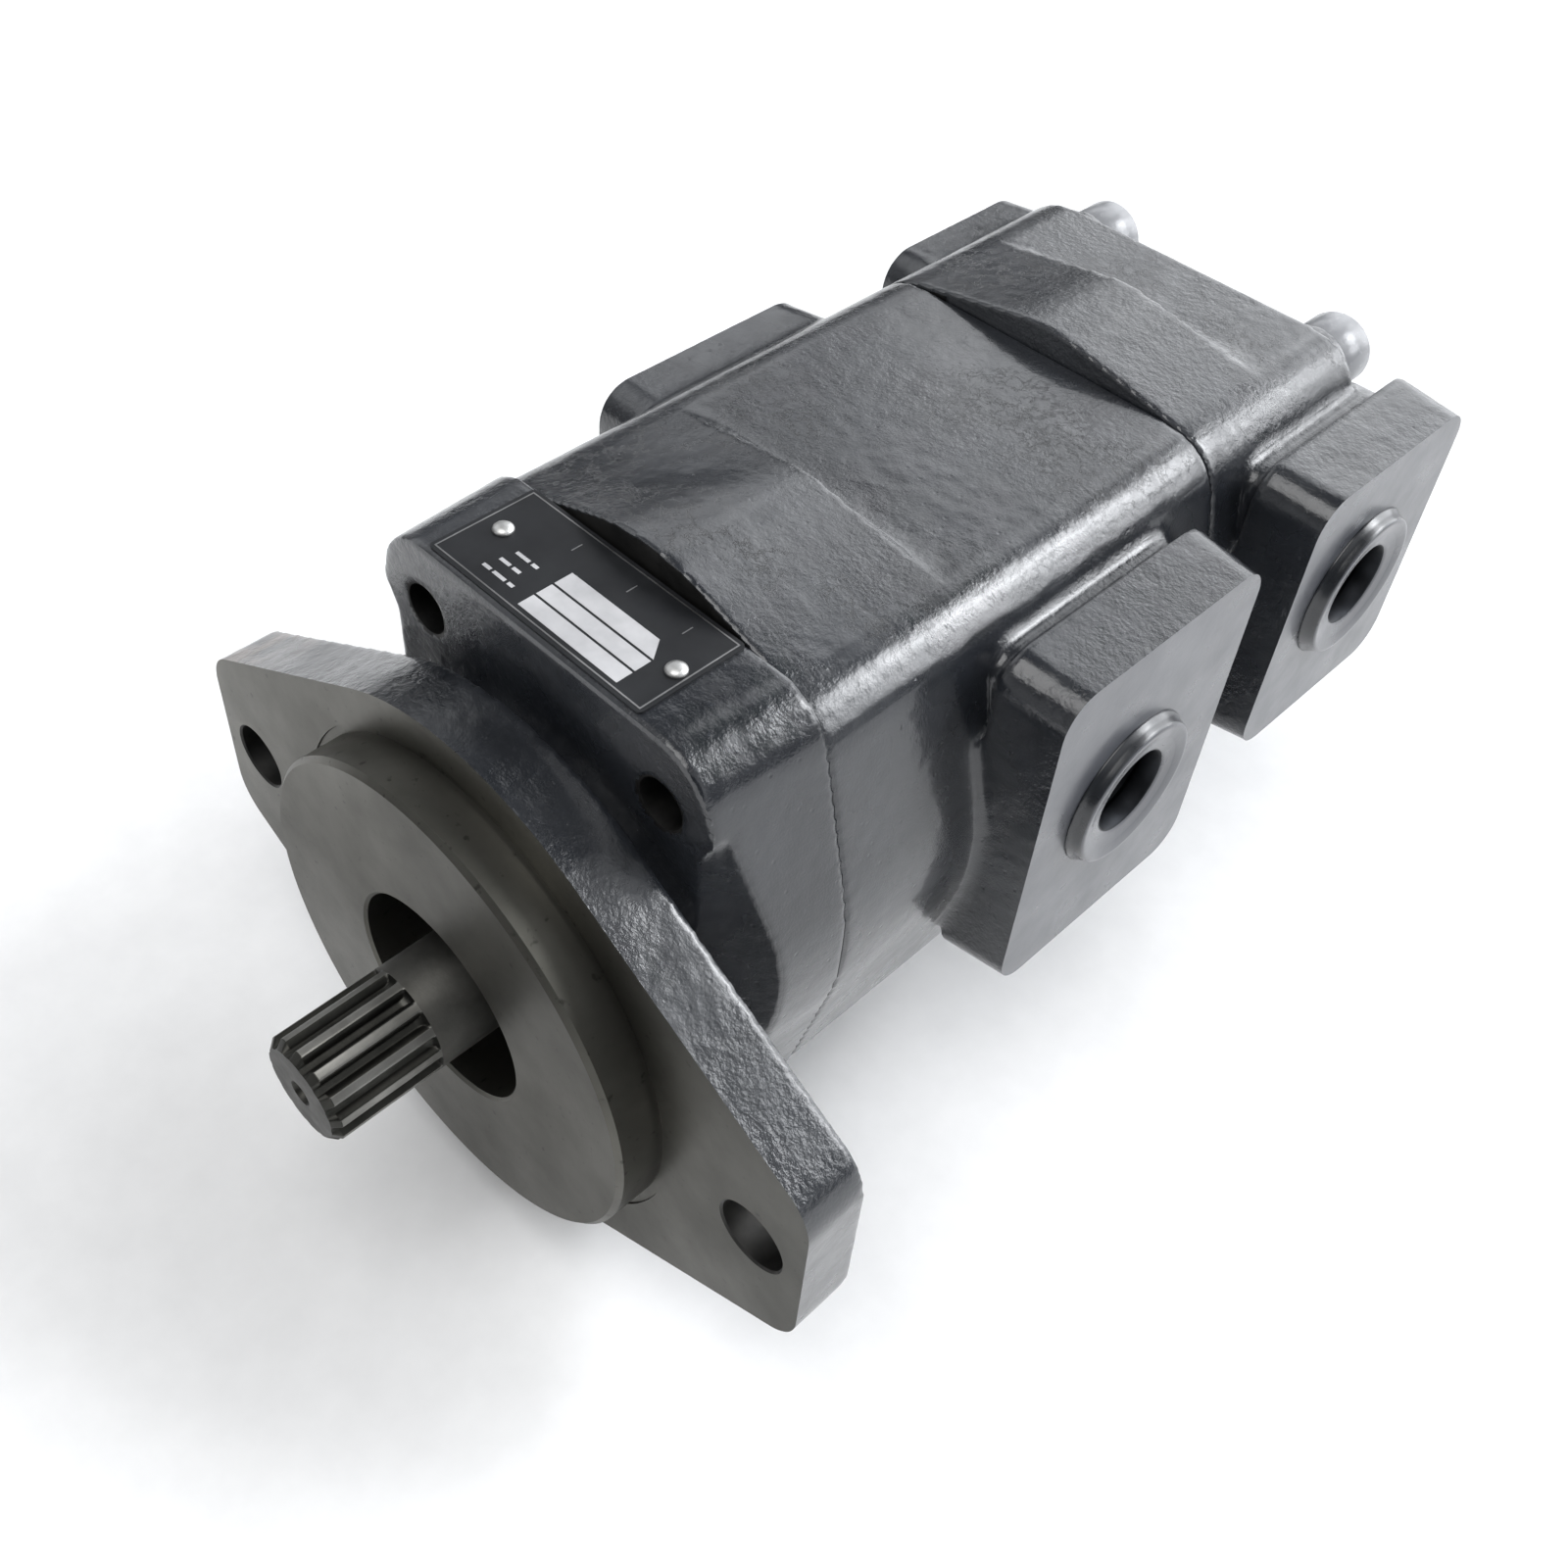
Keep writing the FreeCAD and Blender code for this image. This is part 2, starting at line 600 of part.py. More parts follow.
def main():
    """Build and write every sub-part."""
    os.makedirs("parts", exist_ok=True)
    blocks = {
        "front_section_front": (SEAM_1_Y + END_GAP, GEAR_1[0]),
        "front_section_rear": (POCKET_1_END - END_GAP, GEAR_1[1]),
        "rear_section_front": (SEAM_2_Y + END_GAP, GEAR_2[0]),
        "rear_section_rear": (POCKET_2_END - END_GAP, GEAR_2[1])}
    for name, (back, gear_side) in blocks.items():
        bush_back = SLEEVE_Y[1] + 0.2 if name == "rear_section_front" else back
        save(name + "_bearing_block", bearing_block(back, gear_side))
        save(name + "_bushes", bush_pair(*sorted((bush_back, gear_side))))
        save(name + "_balance_seal", balance_seal(back, gear_side))
    save("front_cover", front_cover())
    save("front_housing", front_housing())
    save("rear_housing", rear_housing())
    save("drive_gear_shaft", drive_gear_shaft())
    save("front_driven_gear", driven_gear(GEAR_1, SEAM_1_Y + 1.5, POCKET_1_END - 1.5))
    save("coupling_sleeve", coupling_sleeve())
    save("rear_drive_gear", rear_drive_gear())
    save("rear_driven_gear", driven_gear(GEAR_2, SEAM_2_Y + 1.5, POCKET_2_END - 1.5))
    save("shaft_lip_seal", lip_seal())
    save("seal_retaining_ring", retaining_ring())
    save("coupling_seal", ring_y(WEB_SEAL_R - 0.03, SLEEVE_R + 0.05, POCKET_1_END + 0.6, WEB_SEAL_END_Y))
    save("front_body_seal", band(POCKET_R + 3.5, POCKET_R + 1.5, SEAM_1_Y, SEAM_1_Y + 1.75))
    save("rear_body_seal", band(POCKET_R + 3.5, POCKET_R + 1.5, SEAM_2_Y, SEAM_2_Y + 1.75))
    save("front_dowels", dowels(SEAM_1_Y))
    save("rear_dowels", dowels(SEAM_2_Y))
    save("tie_bolts", Part.makeCompound([tie_bolt(x, z) for x, z in bolt_places()]))
    save("nameplate", nameplate())
    save("nameplate_rivets", Part.makeCompound([rivet(x, y) for x, y in RIVETS]))
    for section, outlet, inlet in (("front", OUTLET_1, INLET_1), ("rear", OUTLET_2, INLET_2)):
        save(section + "_outlet_fitting", port_fitting(outlet))
        save(section + "_inlet_fitting", mirrored(port_fitting(inlet)))
        save(section + "_port_seals", Part.makeCompound([port_seal(outlet), mirrored(port_seal(inlet))]))


main()
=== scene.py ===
"""Looks of the tandem gear pump: cast and machined housings, turned parts, nameplate, camera and light.

Metres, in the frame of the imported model: +X right seen from the shaft end, +Y rearward, +Z up.
"""
import json
import math

import bmesh
import bpy
import numpy as np
from mathutils import Matrix, Vector, noise


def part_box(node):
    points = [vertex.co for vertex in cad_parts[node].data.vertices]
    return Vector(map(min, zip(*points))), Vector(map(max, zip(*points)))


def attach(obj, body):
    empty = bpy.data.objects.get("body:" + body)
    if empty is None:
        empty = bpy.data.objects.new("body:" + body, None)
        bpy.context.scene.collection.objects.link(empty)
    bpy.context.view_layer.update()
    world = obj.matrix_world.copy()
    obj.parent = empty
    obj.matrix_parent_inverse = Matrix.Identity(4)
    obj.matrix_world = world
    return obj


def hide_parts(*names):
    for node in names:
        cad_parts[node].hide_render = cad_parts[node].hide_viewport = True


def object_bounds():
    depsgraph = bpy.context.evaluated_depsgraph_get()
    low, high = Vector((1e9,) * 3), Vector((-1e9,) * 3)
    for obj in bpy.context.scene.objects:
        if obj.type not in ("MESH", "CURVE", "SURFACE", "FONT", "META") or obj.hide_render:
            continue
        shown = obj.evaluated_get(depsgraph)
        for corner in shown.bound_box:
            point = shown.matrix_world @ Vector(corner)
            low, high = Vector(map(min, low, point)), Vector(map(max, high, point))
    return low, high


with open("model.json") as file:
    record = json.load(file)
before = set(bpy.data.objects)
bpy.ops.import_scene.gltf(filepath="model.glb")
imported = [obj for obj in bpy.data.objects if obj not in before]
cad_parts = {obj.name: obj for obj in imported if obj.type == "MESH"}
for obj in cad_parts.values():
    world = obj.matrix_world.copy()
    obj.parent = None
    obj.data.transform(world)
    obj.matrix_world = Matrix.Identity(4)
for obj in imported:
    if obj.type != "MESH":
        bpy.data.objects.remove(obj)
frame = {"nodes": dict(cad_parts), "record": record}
cad_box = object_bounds()
MM = 0.001
scene = bpy.context.scene


# ---------------------------------------------------------------- camera

def aim(ob, place, forward, up):
    """Put an object at a place, looking along forward (its -Z), with up along its +Y."""
    forward = Vector(forward).normalized()
    side = forward.cross(Vector(up)).normalized()
    top = side.cross(forward)
    turn = Matrix((side, top, -forward)).transposed()
    ob.matrix_world = Matrix.Translation(Vector(place)) @ turn.to_4x4()


lens = bpy.data.cameras.new("view_camera")
lens.sensor_width = 36.0
lens.lens = 38.6
lens.shift_x = 0.0435
lens.shift_y = -0.0326
lens.clip_start = 0.01
camera = bpy.data.objects.new("view_camera", lens)
scene.collection.objects.link(camera)
aim(camera, (0.1583, -0.1032, 0.2602), (-0.4809, 0.4970, -0.7223), (-0.5414, 0.4797, 0.6905))
scene.camera = camera


# ---------------------------------------------------------------- mesh helpers

def piece(name, mesh, body="pump_body"):
    """A new visible piece that moves with a body."""
    ob = bpy.data.objects.new(name, mesh)
    scene.collection.objects.link(ob)
    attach(ob, body)
    return ob


def scratch(mesh):
    """A temporary object for modifiers to work on."""
    ob = bpy.data.objects.new("scratch", mesh)
    scene.collection.objects.link(ob)
    return ob


def drop(ob):
    """Remove a temporary object and its mesh."""
    mesh = ob.data
    bpy.data.objects.remove(ob)
    bpy.data.meshes.remove(mesh)


def settled(ob):
    """The object's mesh with its modifiers applied, as a new mesh; the object is removed."""
    bpy.context.view_layer.update()
    seen = ob.evaluated_get(bpy.context.evaluated_depsgraph_get())
    mesh = bpy.data.meshes.new_from_object(seen)
    drop(ob)
    return mesh


def from_bmesh(bm):
    """Turn a bmesh into a mesh."""
    mesh = bpy.data.meshes.new("part")
    bm.normal_update()
    bm.to_mesh(mesh)
    bm.free()
    return mesh


def cad_mesh(node):
    """A welded copy of a CAD node's mesh."""
    bm = bmesh.new()
    bm.from_mesh(frame["nodes"][node].data)
    bmesh.ops.remove_doubles(bm, verts=bm.verts, dist=2e-6)
    bmesh.ops.dissolve_degenerate(bm, edges=bm.edges, dist=1e-7)
    return from_bmesh(bm)


AXES = {
    "x": lambda a, u, v: (a, u, v),
    "y": lambda a, u, v: (u, a, v),
    "z": lambda a, u, v: (u, v, a)}


def turned(profile, axis="y", centre=(0.0, 0.0), steps=128):
    """Solid of revolution. profile is (along, radius) in mm from one end of the axis to the other;
    centre is the axis's place in the other two coordinates, in mm."""
    place = AXES[axis]
    bm = bmesh.new()
    rings = []
    for along, radius in profile:
        if radius == 0:
            rings.append([bm.verts.new(Vector(place(along, *centre)) * MM)])
            continue
        ring = []
        for k in range(steps):
            angle = 2 * math.pi * k / steps
            u = centre[0] + radius * math.cos(angle)
            v = centre[1] + radius * math.sin(angle)
            ring.append(bm.verts.new(Vector(place(along, u, v)) * MM))
        rings.append(ring)
    loop = profile[0][1] > 0
    pairs = list(zip(rings, rings[1:])) + ([(rings[-1], rings[0])] if loop else [])
    for first, second in pairs:
        for k in range(steps):
            corners = [first[k % len(first)], first[(k + 1) % len(first)],
                       second[(k + 1) % len(second)], second[k % len(second)]]
            unique = [c for i, c in enumerate(corners) if c not in corners[:i]]
            if len(unique) > 2:
                bm.faces.new(unique)
    bmesh.ops.recalc_face_normals(bm, faces=bm.faces)
    return from_bmesh(bm)


def rod(radius, start, end, axis="y", centre=(0.0, 0.0), steps=96):
    """Plain cylinder, used for cutting."""
    return turned([(start, 0), (start, radius), (end, radius), (end, 0)], axis, centre, steps)


def block(low, high):
    """Box between two corners in mm."""
    bm = bmesh.new()
    bmesh.ops.create_cube(bm, size=1.0)
    low, high = Vector(low) * MM, Vector(high) * MM
    for v in bm.verts:
        v.co = Vector(low[i] + (v.co[i] + 0.5) * (high[i] - low[i]) for i in range(3))
    return from_bmesh(bm)


def combine(mesh, others, operation):
    """Boolean of a mesh with several others, one after another."""
    for other in others:
        ob = scratch(mesh)
        tool = scratch(other)
        step = ob.modifiers.new("cut", "BOOLEAN")
        step.operation = operation
        step.solver = "MANIFOLD"
        step.object = tool
        mesh = settled(ob)
        drop(tool)
    return mesh


def stretched(mesh, axis, level, direction, reach):
    """Pull everything on the plane at a level out by some mm, as stock for machining."""
    for v in mesh.vertices:
        if abs(v.co[axis] / MM - level) < 0.02:
            v.co[axis] += direction * reach * MM
    return mesh


def points_of(mesh):
    """Vertex places as an array."""
    flat = np.empty(len(mesh.vertices) * 3)
    mesh.vertices.foreach_get("co", flat)
    return flat.reshape(-1, 3)


def smoothed(mesh, rounds):
    """A smoothed copy with the same vertices."""
    ob = scratch(mesh.copy())
    smooth = ob.modifiers.new("smooth", "SMOOTH")
    smooth.factor = 0.5
    smooth.iterations = rounds
    return settled(ob)


VOXEL = 0.72
EDGE_ROUNDS = 4
FILL_ROUNDS = 60
SKIN = 0.045


def softened(mesh):
    """Remesh finely and smooth: edges get rounded a little, and inner corners filled a lot."""
    ob = scratch(mesh)
    remesh = ob.modifiers.new("remesh", "REMESH")
    remesh.mode = "VOXEL"
    remesh.voxel_size = VOXEL * MM
    mesh = smoothed(settled(ob), EDGE_ROUNDS)
    full = smoothed(mesh, FILL_ROUNDS)
    normals = np.empty(len(full.vertices) * 3)
    full.vertices.foreach_get("normal", normals)
    normals = normals.reshape(-1, 3)
    places = points_of(mesh)
    shift = points_of(full) - places
    outward = (shift * normals).sum(1)
    places[outward > 0] += shift[outward > 0]
    mesh.vertices.foreach_set("co", places.ravel())
    bpy.data.meshes.remove(full)
    return smoothed(mesh, 2)


def cast_skin(mesh, still=lambda co: False):
    """Push the surface in and out like a sand casting's skin, except where still(co) is true."""
    bm = bmesh.new()
    bm.from_mesh(mesh)
    bm.normal_update()
    moves = []
    for v in bm.verts:
        if still(v.co / MM):
            continue
        grain = noise.noise(v.co * 420) + 0.7 * noise.noise(v.co * 90 + Vector((7, 3, 1)))
        moves.append((v, v.normal * (grain * SKIN * MM)))
    for v, move in moves:
        v.co += move
    return from_bmesh(bm)


def thinned(mesh, most=170000):
    """Bring a mesh under a number of triangles where it is flattest."""
    mesh.calc_loop_triangles()
    count = len(mesh.loop_triangles)
    if count <= most:
        return mesh
    ob = scratch(mesh)
    thin = ob.modifiers.new("thin", "DECIMATE")
    thin.ratio = most / count
    return settled(ob)


def finished(mesh, angle=32):
    """Smooth shading with sharp edges kept."""
    for face in mesh.polygons:
        face.use_smooth = True
    mesh.set_sharp_from_angle(angle=math.radians(angle))
    return mesh


# ---------------------------------------------------------------- materials

class Finish:
    """A material and short ways to build its node tree."""

    def __init__(self, name):
        self.material = bpy.data.materials.new(name)
        self.material.use_nodes = True
        self.tree = self.material.node_tree
        self.tree.nodes.clear()
        self.shader = self.add("ShaderNodeBsdfPrincipled")
        output = self.add("ShaderNodeOutputMaterial")
        self.link(self.shader.outputs["BSDF"], output.inputs["Surface"])
        self.place = self.add("ShaderNodeTexCoord").outputs["Object"]

    def add(self, kind, **settings):
        node = self.tree.nodes.new(kind)
        for key, value in settings.items():
            setattr(node, key, value)
        return node

    def link(self, source, target):
        self.tree.links.new(source, target)

    def set(self, **values):
        for key, value in values.items():
            self.shader.inputs[key.replace("_", " ")].default_value = value

    def noise(self, scale, detail=3.0, roughness=0.5, where=None):
        node = self.add("ShaderNodeTexNoise")
        node.inputs["Scale"].default_value = scale
        node.inputs["Detail"].default_value = detail
        node.inputs["Roughness"].default_value = roughness
        self.link(where or self.place, node.inputs["Vector"])
        return node.outputs["Fac"]

    def cells(self, scale):
        node = self.add("ShaderNodeTexVoronoi", feature="F1")
        node.inputs["Scale"].default_value = scale
        self.link(self.place, node.inputs["Vector"])
        return node.outputs["Distance"]

    def ramp(self, source, stops):
        node = self.add("ShaderNodeValToRGB")
        elements = node.color_ramp.elements
        while len(elements) < len(stops):
            elements.new(0.5)
        for element, (position, colour) in zip(elements, stops):
            element.position = position
            if not isinstance(colour, tuple):
                colour = (colour, colour, colour)
            element.color = (*colour, 1.0)
        self.link(source, node.inputs["Fac"])
        return node.outputs["Color"]

    def maths(self, operation, first, second=0.5, clamp=False):
        node = self.add("ShaderNodeMath", operation=operation, use_clamp=clamp)
        for value, socket in zip((first, second), node.inputs):
            if isinstance(value, (int, float)):
                socket.default_value = value
            else:
                self.link(value, socket)
        return node.outputs[0]

    def mix(self, factor, first, second):
        node = self.add("ShaderNodeMix", data_type="RGBA")
        sockets = (node.inputs[0], node.inputs[6], node.inputs[7])
        for value, socket in zip((factor, first, second), sockets):
            if isinstance(value, tuple):
                socket.default_value = (*value, 1.0)
            elif isinstance(value, (int, float)):
                socket.default_value = value
            else:
                self.link(value, socket)
        return node.outputs[2]

    def axes(self):
        node = self.add("ShaderNodeSeparateXYZ")
        self.link(self.place, node.inputs[0])
        return node.outputs

    def bump(self, height, distance, strength=1.0, below=None):
        node = self.add("ShaderNodeBump")
        node.inputs["Strength"].default_value = strength
        node.inputs["Distance"].default_value = distance * MM
        self.link(height, node.inputs["Height"])
        if below is not None:
            self.link(below, node.inputs["Normal"])
        return node.outputs["Normal"]


def cast_paint(name, dark, light, rough, grain):
    """Semi-gloss paint over a sand-cast skin; grain is the height of the skin in mm."""
    f = Finish(name)
    swells = f.noise(150, 2.0)
    sand = f.noise(820, 3.0, 0.6)
    fine = f.noise(2100, 1.0)
    pits = f.ramp(f.cells(300), [(0.0, 0.0), (0.16, 1.0)])
    patches = f.ramp(f.noise(28, 3.0), [(0.40, 0.2), (0.60, 1.0)])
    facing = f.add("ShaderNodeSeparateXYZ")
    f.link(f.add("ShaderNodeTexCoord").outputs["Normal"], facing.inputs[0])
    calm = f.ramp(f.maths("ABSOLUTE", facing.outputs[0]), [(0.72, 1.0), (0.92, 0.25)])
    patches = f.maths("MULTIPLY", patches, calm)
    cloud = f.noise(45, 4.0, 0.6)
    colour = f.mix(f.ramp(cloud, [(0.35, 0.0), (0.7, 1.0)]), dark, light)
    colour = f.mix(f.ramp(sand, [(0.58, 0.0), (0.85, 0.4)]), colour, tuple(2.0 * c for c in light))
    x, y, z = f.axes()
    worn = f.maths("MULTIPLY", f.ramp(f.maths("MULTIPLY", x, -1.0), [(0.058, 0.0), (0.068, 0.8)]),
                   f.ramp(f.noise(110, 4.0, 0.65), [(0.42, 0.0), (0.58, 1.0)]))
    worn = f.maths("MULTIPLY", worn, f.ramp(y, [(0.012, 1.0), (0.014, 0.0)]))
    colour = f.mix(worn, colour, (0.105, 0.078, 0.062))
    top = f.ramp(z, [(0.069, 0.0), (0.071, 1.0)])
    cracks = f.maths("MULTIPLY", f.ramp(f.noise(210, 5.0, 0.7), [(0.482, 0.0), (0.5, 1.0), (0.518, 0.0)]),
                     f.ramp(f.noise(34, 3.0), [(0.53, 0.0), (0.61, 1.0)]))
    cracks = f.maths("MULTIPLY", cracks, top)
    colour = f.mix(cracks, colour, tuple(0.3 * c for c in dark))
    f.link(colour, f.shader.inputs["Base Color"])
    gloss = f.ramp(f.noise(70, 4.0), [(0.3, rough - 0.05), (0.7, rough + 0.1)])
    f.link(gloss, f.shader.inputs["Roughness"])
    normal = f.bump(f.maths("MULTIPLY", swells, calm), grain * 1.3)
    normal = f.bump(f.maths("MULTIPLY", sand, patches), grain, 1.0, normal)
    normal = f.bump(fine, grain * 0.12, 1.0, normal)
    normal = f.bump(pits, grain * 0.5, 0.5, normal)
    normal = f.bump(f.maths("MULTIPLY", cracks, -1.0), 0.13, 1.0, normal)
    f.link(normal, f.shader.inputs["Normal"])
    f.set(Specular_IOR_Level=0.5, Coat_Weight=0.5, Coat_Roughness=0.10)
    return f.material


def smooth_paint(name, dark, light, rough):
    """The same paint on a machined face: nearly flat, with faint tool marks and dust."""
    f = Finish(name)
    cloud = f.noise(60, 4.0, 0.6)
    colour = f.mix(f.ramp(cloud, [(0.35, 0.0), (0.7, 1.0)]), dark, light)
    f.link(colour, f.shader.inputs["Base Color"])
    gloss = f.ramp(f.noise(120, 3.0), [(0.3, rough - 0.05), (0.7, rough + 0.09)])
    f.link(gloss, f.shader.inputs["Roughness"])
    normal = f.bump(f.noise(210, 2.0), 0.05)
    normal = f.bump(f.noise(1300, 2.0), 0.012, 1.0, normal)
    f.link(normal, f.shader.inputs["Normal"])
    f.set(Specular_IOR_Level=0.6, Coat_Weight=0.3, Coat_Roughness=0.14)
    return f.material


def turned_iron(name, dark, light, rough):
    """Bare iron faced on a lathe about the shaft axis: rings, stains, a soft sheen, and painted shade that
    darkens it towards +X.
    """
    f = Finish(name)
    x, y, z = f.axes()
    radius = f.maths("SQRT", f.maths("ADD", f.maths("MULTIPLY", x, x), f.maths("MULTIPLY", z, z)))
    spread = f.add("ShaderNodeCombineXYZ")
    f.link(f.maths("MULTIPLY", radius, 5200.0), spread.inputs[0])
    f.link(f.maths("MULTIPLY", y, 5200.0), spread.inputs[1])
    rings = f.noise(1.0, 3.0, 0.65, spread.outputs[0])
    stains = f.noise(30, 5.0, 0.62)
    colour = f.mix(f.ramp(stains, [(0.32, 0.0), (0.68, 1.0)]), dark, light)
    specks = f.ramp(f.noise(520, 2.0), [(0.66, 0.0), (0.74, 0.6)])
    colour = f.mix(specks, colour, tuple(0.35 * c for c in dark))
    # Painted shade: the iron gets darker towards +X, the side turned away from the light.
    shade_toward_plus_x = f.ramp(x, [(0.0, 0.0), (0.075, 0.42)])
    colour = f.mix(shade_toward_plus_x, colour, tuple(0.3 * c for c in dark))
    f.link(colour, f.shader.inputs["Base Color"])
    f.link(f.ramp(stains, [(0.3, rough + 0.08), (0.7, rough - 0.04)]), f.shader.inputs["Roughness"])
    normal = f.bump(rings, 0.012)
    f.link(normal, f.shader.inputs["Normal"])
    f.set(Metallic=1.0, Anisotropic=0.45)
    tangent = f.add("ShaderNodeTangent", direction_type="RADIAL", axis="Y")
    f.link(tangent.outputs[0], f.shader.inputs["Tangent"])
    return f.material


def plain_metal(name, dark, light, rough, grain=0.006, metallic=1.0, gloss=0.5):
    """Machined metal with a fine random grain and slight stains."""
    f = Finish(name)
    colour = f.mix(f.ramp(f.noise(90, 4.0, 0.6), [(0.3, 0.0), (0.7, 1.0)]), dark, light)
    f.link(colour, f.shader.inputs["Base Color"])
    sheen = f.ramp(f.noise(240, 3.0), [(0.3, rough - 0.06), (0.7, rough + 0.08)])
    f.link(sheen, f.shader.inputs["Roughness"])
    f.link(f.bump(f.noise(1900, 2.0), grain), f.shader.inputs["Normal"])
    f.set(Metallic=metallic, Specular_IOR_Level=gloss)
    return f.material


def dull(name, dark, light, rough, grain=0.02, gloss=0.5):
    """Non-metal with a fine mottle: rubber, print and the floor."""
    return plain_metal(name, dark, light, rough, grain, 0.0, gloss)


PAINT_DARK = (0.0125, 0.0140, 0.0170)
PAINT_LIGHT = (0.0230, 0.0255, 0.0305)
paint = cast_paint("paint_on_casting", PAINT_DARK, PAINT_LIGHT, 0.24, 0.30)
# Partly painted light: the pump's paint on the bolt heads, made far lighter to stand for the brighter light
# at the rear; the finer grain is their own.
paint_lightened_heads = cast_paint("paint_on_bolt_heads_lightened", (0.19, 0.195, 0.205), (0.27, 0.275, 0.29), 0.40, 0.06)
paint_flat = smooth_paint("paint_on_machined_face", (0.045, 0.048, 0.057), (0.068, 0.072, 0.083), 0.30)
iron = turned_iron("faced_iron", (0.085, 0.083, 0.073), (0.138, 0.134, 0.118), 0.40)
steel = plain_metal("ground_steel", (0.16, 0.158, 0.148), (0.30, 0.295, 0.28), 0.30)
nose_land = plain_metal("ground_spline_lands", (0.13, 0.128, 0.118), (0.24, 0.237, 0.222), 0.42, 0.02)
# Painted shade: tooth flanks, roots and the nose end are near-black, for the shade between the teeth.
spline_shade_steel = plain_metal("spline_flanks_darkened_as_shade", (0.030, 0.030, 0.027), (0.062, 0.061, 0.055), 0.42, 0.02)
# Painted shade: the journal is darker steel than the rest of the shaft, for the shade in the cover's recess.
journal_shade_steel = plain_metal("journal_darkened_as_recess_shade", (0.10, 0.098, 0.090), (0.16, 0.157, 0.145), 0.50, 0.02)
# Painted shade: near-black steel inside the port inserts' threaded bores.
port_bore_shaded = plain_metal("port_bore_shaded", (0.014, 0.015, 0.017), (0.030, 0.032, 0.036), 0.5)
# Partly painted shade: the pump's own dark paint, put on the inserts' outer rim wall so it reads as dark as
# the shade on it, while their faces take the lighter face paint.
paint_rim_shade = smooth_paint("paint_on_port_rim_wall_shade", PAINT_DARK, PAINT_LIGHT, 0.26)
# Painted shade: bores get near-black iron, standing for the shade inside holes, recess and pockets.
bore = plain_metal("bored_iron_darkened_as_shade", (0.025, 0.025, 0.025), (0.06, 0.058, 0.055), 0.5)
aluminium = plain_metal("block_alloy", (0.55, 0.55, 0.56), (0.72, 0.72, 0.73), 0.35)
bronze = plain_metal("bush_bronze", (0.42, 0.26, 0.12), (0.62, 0.42, 0.2), 0.33)
rubber = dull("seal_rubber", (0.012, 0.012, 0.012), (0.03, 0.03, 0.03), 0.55)
spring = plain_metal("oiled_spring_steel", (0.08, 0.08, 0.085), (0.16, 0.16, 0.165), 0.35)
plate_black = dull("nameplate_black", (0.007, 0.0075, 0.009), (0.015, 0.016, 0.018), 0.40, 0.006, 0.3)
plate_white = dull("nameplate_field", (0.34, 0.34, 0.35), (0.50, 0.50, 0.51), 0.38, 0.006, 0.4)
plate_silver = plain_metal("nameplate_line", (0.22, 0.22, 0.22), (0.42, 0.42, 0.42), 0.38)
rivet_metal = plain_metal("rivet_aluminium", (0.42, 0.42, 0.41), (0.66, 0.66, 0.65), 0.42, 0.03)


# ---------------------------------------------------------------- castings

mounts = {m["name"]: m for m in frame["record"]["mounts"]}
seam_1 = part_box("front_cover")[1].y / MM
seam_2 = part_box("front_housing")[1].y / MM
bolts_low, bolts_high = (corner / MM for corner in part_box("tie_bolts"))
HEAD_R = 8.0
HEAD_HEIGHT = 11.0
SHANK_R = 4.95
head_seat = bolts_high.y - HEAD_HEIGHT
bolt_x = bolts_high.x - HEAD_R
bolt_z = (bolts_low.z + HEAD_R, bolts_high.z - HEAD_R)
centre_z = (bolt_z[0] + bolt_z[1]) / 2
bolt_places = [(x, z) for x in (-bolt_x, bolt_x) for z in bolt_z]
ear_x = mounts["flange_bolts"]["dims"]["spacing_x_mm"] / 2
ear_r = mounts["flange_bolts"]["dims"]["hole_r_mm"]
pilot_r = mounts["pilot"]["dims"]["r_mm"]
pilot_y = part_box("front_cover")[0].y / MM
driven_z = 2 * centre_z
PORT_R = mounts["front_outlet_port"]["dims"]["r_mm"]
POCKET_R = 24.705
DOWEL_R = 4.02
DOWEL_DEPTH = 8.5
DOWEL_X = 38.0
SEAM_STOCK = 0.15
FLANGE_STOCK = 3.0
PORT_STOCK = 2.0
REAR_FACE_Y = 199.0
COUPLING_BORE_R = 17.0
COUPLING_END_Y = 145.5
dowel_places = [(x, centre_z) for x in (-DOWEL_X, DOWEL_X)]
ear_places = [(x, 0.0) for x in (-ear_x, ear_x)]
gear_places = [(0.0, z) for z in (0.0, driven_z)]
plate_low, plate_high = (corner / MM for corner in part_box("nameplate"))


def rods(places, radius, start, end, steps=96):
    """Cylinders along Y at several places, for filling holes or drilling them."""
    return [rod(radius, start, end, "y", place, steps) for place in places]


def bolt_rods(radius, start, end):
    return rods(bolt_places, radius, start, end, 64)


def dowel_rods(seam):
    return rods(dowel_places, DOWEL_R, seam - DOWEL_DEPTH, seam + DOWEL_DEPTH, 48)


def beyond(axis, side, level):
    """A block that holds everything past a plane, for machining a face."""
    low, high = [-90, -90, -90], [90, 300, 90]
    if side > 0:
        low[axis], high[axis] = level, level + 12
    else:
        low[axis], high[axis] = level - 12, level
    return block(low, high)


def near_plate(co):
    return (plate_low.x - 1 < co.x < plate_high.x + 1 and plate_low.y - 1 < co.y < plate_high.y + 1
            and co.z > plate_low.z - 2)


